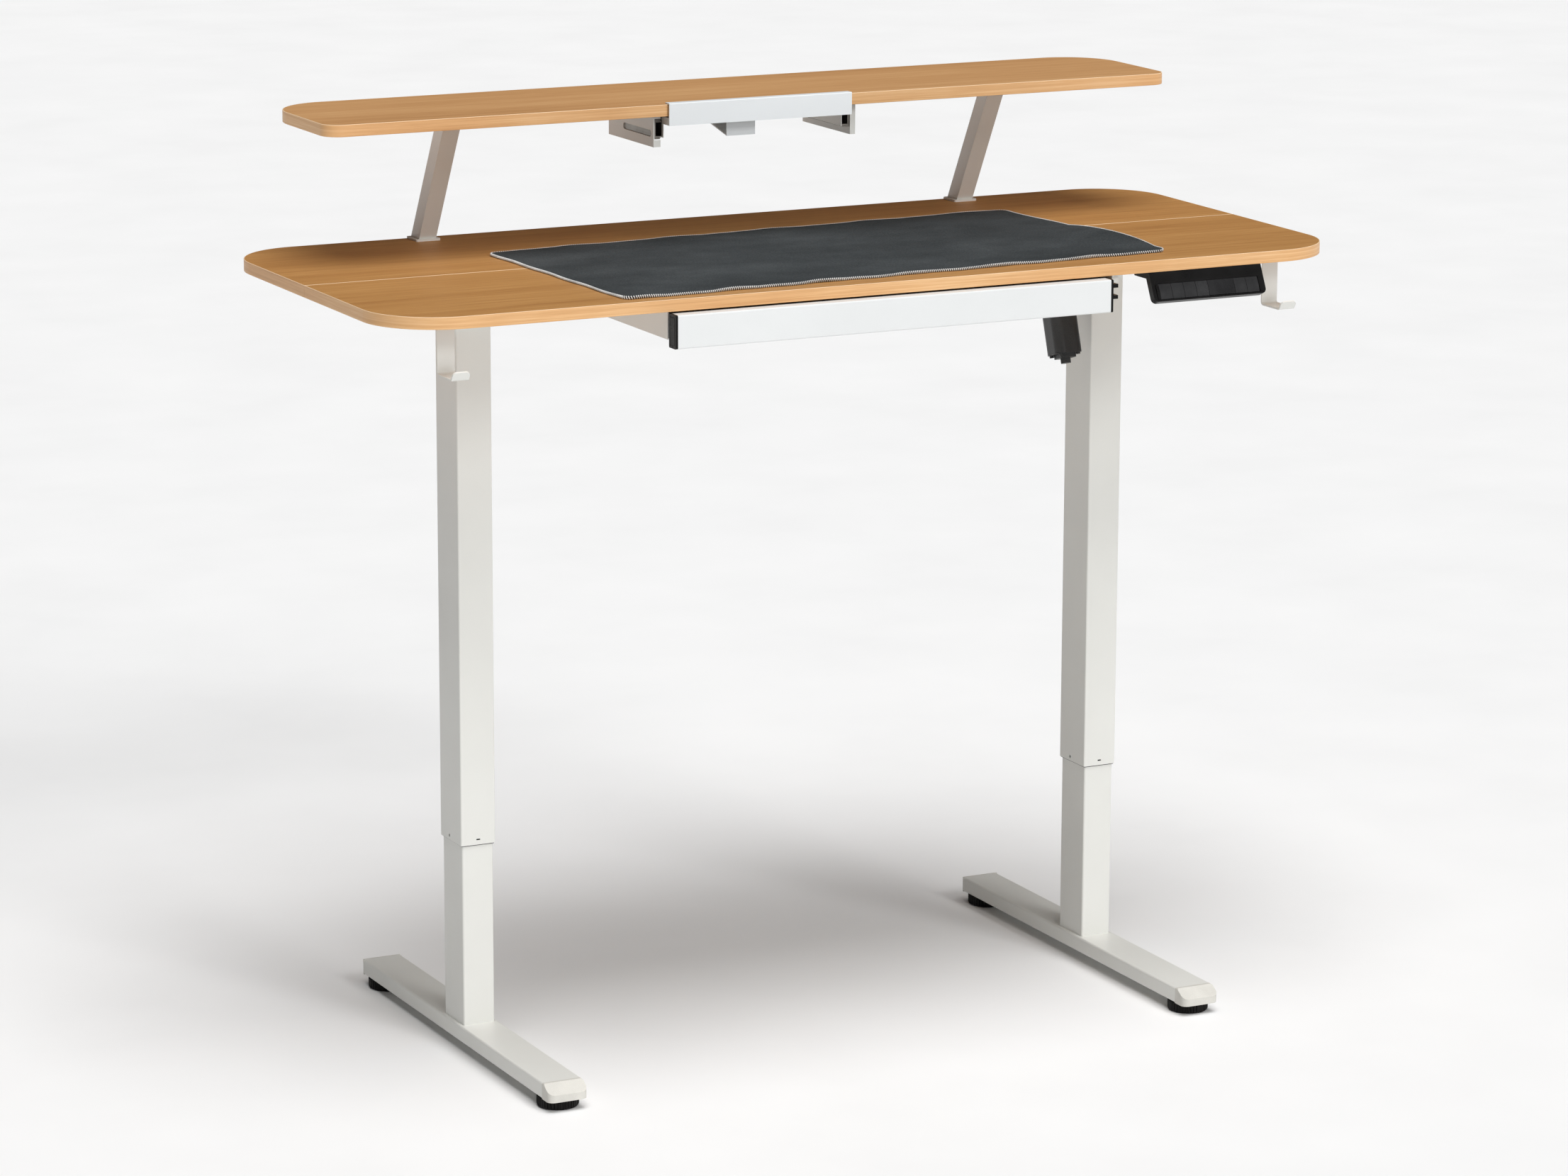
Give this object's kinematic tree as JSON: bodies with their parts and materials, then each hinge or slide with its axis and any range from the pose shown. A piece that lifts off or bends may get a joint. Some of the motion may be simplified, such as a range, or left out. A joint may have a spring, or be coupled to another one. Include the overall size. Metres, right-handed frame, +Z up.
{
  "type": "height adjustable standing desk",
  "caption": "Electric height adjustable desk: two telescopic legs, rounded wood-look desktop, raised rear shelf, two shallow drawers, bag hooks, front keypad and a dark desk mat.",
  "frame": {"origin": "on the floor, midway across the desktop in X and Y", "axes": "+X to the sitting user's right, +Y to the back, +Z up"},
  "size_m": [1.4, 0.643, 1.252],
  "materials": {
    "white_coat": "satin",
    "white_plastic": "matte",
    "black_plastic": "matte",
    "display_window": "gloss",
    "wood_board": "satin",
    "edge_band": "satin",
    "zinc_steel": "satin",
    "nut_plastic": "matte",
    "mat_fabric": "matte"
  },
  "bodies": {
    "upper": {"column_outer_left": "white_coat", "column_outer_right": "white_coat", "control_box": "black_plastic", "crossbars": "white_coat", "desk_mat": "mat_fabric", "desktop_edging": "edge_band", "desktop_front_board": "wood_board", "desktop_rear_board": "wood_board", "drawer_bumpers": "black_plastic", "drawer_hangers": "white_coat", "drawer_slide_outer": "zinc_steel", "gear_housing_left": "white_coat", "gear_housing_right": "white_coat", "glide_sleeves": "black_plastic", "hooks": "white_coat", "motor_can": "zinc_steel", "motor_housing": "black_plastic", "panel_display": "display_window", "panel_housing": "black_plastic", "shelf_board": "wood_board", "shelf_drawer_hangers": "white_coat", "shelf_edging": "edge_band", "shelf_post_left": "white_coat", "shelf_post_right": "white_coat", "shelf_slide_outer": "zinc_steel", "side_arms": "white_coat", "wood_screws": "zinc_steel"},
    "base_left": {"foot_left": "white_coat", "foot_caps_left": "white_plastic", "column_inner_left": "white_coat", "lead_nut_left": "nut_plastic"},
    "base_right": {"foot_right": "white_coat", "foot_caps_right": "white_plastic", "column_inner_right": "white_coat", "lead_nut_right": "nut_plastic"},
    "pad_left_front": {"leveling_pad_left_front": "black_plastic"},
    "pad_left_back": {"leveling_pad_left_back": "black_plastic"},
    "pad_right_front": {"leveling_pad_right_front": "black_plastic"},
    "pad_right_back": {"leveling_pad_right_back": "black_plastic"},
    "lead_screw_left": {"lead_screw_left": "zinc_steel"},
    "lead_screw_right": {"lead_screw_right": "zinc_steel"},
    "cross_shaft": {"hex_shaft": "zinc_steel", "drive_gears": "zinc_steel"},
    "motor_worm": {"motor_worm": "zinc_steel"},
    "lower_drawer": {"drawer_front": "white_coat", "drawer_end_caps": "black_plastic", "drawer_box": "white_coat", "drawer_slide_inner": "zinc_steel"},
    "lower_slide_mid": {"drawer_slide_mid": "zinc_steel"},
    "shelf_drawer": {"shelf_drawer_front": "white_coat", "shelf_drawer_tray": "white_coat", "shelf_drawer_pull": "white_coat", "shelf_slide_inner": "zinc_steel"},
    "shelf_slide_mid": {"shelf_slide_mid": "zinc_steel"},
    "key_up": {"key_up": "black_plastic"},
    "key_down": {"key_down": "black_plastic"},
    "key_preset_1": {"key_preset_1": "black_plastic"},
    "key_preset_2": {"key_preset_2": "black_plastic"},
    "key_preset_3": {"key_preset_3": "black_plastic"},
    "key_preset_4": {"key_preset_4": "black_plastic"}
  },
  "joints": [
    {"name": "lift", "type": "slide", "parent": "base_left", "child": "upper", "axis": [0, 0, 1], "range_m": [-0.235, 0.225]},
    {"name": "right_leg_slide", "type": "slide", "parent": "upper", "child": "base_right", "axis": [0, 0, -1], "range_m": [-0.235, 0.225]},
    {"name": "lead_screw_left_turn", "type": "hinge", "parent": "upper", "child": "lead_screw_left", "pos_m": [-0.478, 0, 1], "axis": [0, 0, 1], "continuous": true},
    {"name": "lead_screw_right_turn", "type": "hinge", "parent": "upper", "child": "lead_screw_right", "pos_m": [0.478, 0, 1], "axis": [0, 0, 1], "continuous": true},
    {"name": "cross_shaft_turn", "type": "hinge", "parent": "upper", "child": "cross_shaft", "pos_m": [0, 0, 1.01], "axis": [1, 0, 0], "continuous": true},
    {"name": "motor_worm_turn", "type": "hinge", "parent": "upper", "child": "motor_worm", "pos_m": [0.397, -0.0195, 1.01633], "axis": [0, -0.309, -0.9511], "continuous": true},
    {"name": "lower_drawer_slide", "type": "slide", "parent": "upper", "child": "lower_drawer", "axis": [0, -1, 0], "range_m": [0, 0.18]},
    {"name": "lower_slide_mid_travel", "type": "slide", "parent": "upper", "child": "lower_slide_mid", "axis": [0, -1, 0], "range_m": [0, 0.09]},
    {"name": "shelf_drawer_slide", "type": "slide", "parent": "upper", "child": "shelf_drawer", "axis": [0, -1, 0], "range_m": [0, 0.12]},
    {"name": "shelf_slide_mid_travel", "type": "slide", "parent": "upper", "child": "shelf_slide_mid", "axis": [0, -1, 0], "range_m": [0, 0.06]},
    {"name": "pad_left_front_turn", "type": "hinge", "parent": "base_left", "child": "pad_left_front", "pos_m": [-0.478, -0.29, 0], "axis": [0, 0, 1], "range_deg": [0, 1800]},
    {"name": "pad_left_back_turn", "type": "hinge", "parent": "base_left", "child": "pad_left_back", "pos_m": [-0.478, 0.289, 0], "axis": [0, 0, 1], "range_deg": [0, 1800]},
    {"name": "pad_right_front_turn", "type": "hinge", "parent": "base_right", "child": "pad_right_front", "pos_m": [0.478, -0.29, 0], "axis": [0, 0, 1], "range_deg": [0, 1800]},
    {"name": "pad_right_back_turn", "type": "hinge", "parent": "base_right", "child": "pad_right_back", "pos_m": [0.478, 0.289, 0], "axis": [0, 0, 1], "range_deg": [0, 1800]},
    {"name": "key_up_press", "type": "slide", "parent": "upper", "child": "key_up", "axis": [0, 0.8988, -0.4384], "range_m": [0, 0.001], "stiffness_N_per_m": 1200, "springref_m": -0.0006},
    {"name": "key_down_press", "type": "slide", "parent": "upper", "child": "key_down", "axis": [0, 0.8988, -0.4384], "range_m": [0, 0.001], "stiffness_N_per_m": 1200, "springref_m": -0.0006},
    {"name": "key_preset_1_press", "type": "slide", "parent": "upper", "child": "key_preset_1", "axis": [0, 0.8988, -0.4384], "range_m": [0, 0.001], "stiffness_N_per_m": 1200, "springref_m": -0.0006},
    {"name": "key_preset_2_press", "type": "slide", "parent": "upper", "child": "key_preset_2", "axis": [0, 0.8988, -0.4384], "range_m": [0, 0.001], "stiffness_N_per_m": 1200, "springref_m": -0.0006},
    {"name": "key_preset_3_press", "type": "slide", "parent": "upper", "child": "key_preset_3", "axis": [0, 0.8988, -0.4384], "range_m": [0, 0.001], "stiffness_N_per_m": 1200, "springref_m": -0.0006},
    {"name": "key_preset_4_press", "type": "slide", "parent": "upper", "child": "key_preset_4", "axis": [0, 0.8988, -0.4384], "range_m": [0, 0.001], "stiffness_N_per_m": 1200, "springref_m": -0.0006}
  ],
  "couplings": [
    {"joint": "right_leg_slide", "follows": "lift", "ratio": 1},
    {"joint": "lead_screw_left_turn", "follows": "lift", "rad_per_m": 785.4},
    {"joint": "lead_screw_right_turn", "follows": "lift", "rad_per_m": 785.4},
    {"joint": "cross_shaft_turn", "follows": "lift", "rad_per_m": 785.4},
    {"joint": "motor_worm_turn", "follows": "lift", "rad_per_m": 3927},
    {"joint": "lower_slide_mid_travel", "follows": "lower_drawer_slide", "ratio": 0.5},
    {"joint": "shelf_slide_mid_travel", "follows": "shelf_drawer_slide", "ratio": 0.5}
  ]
}
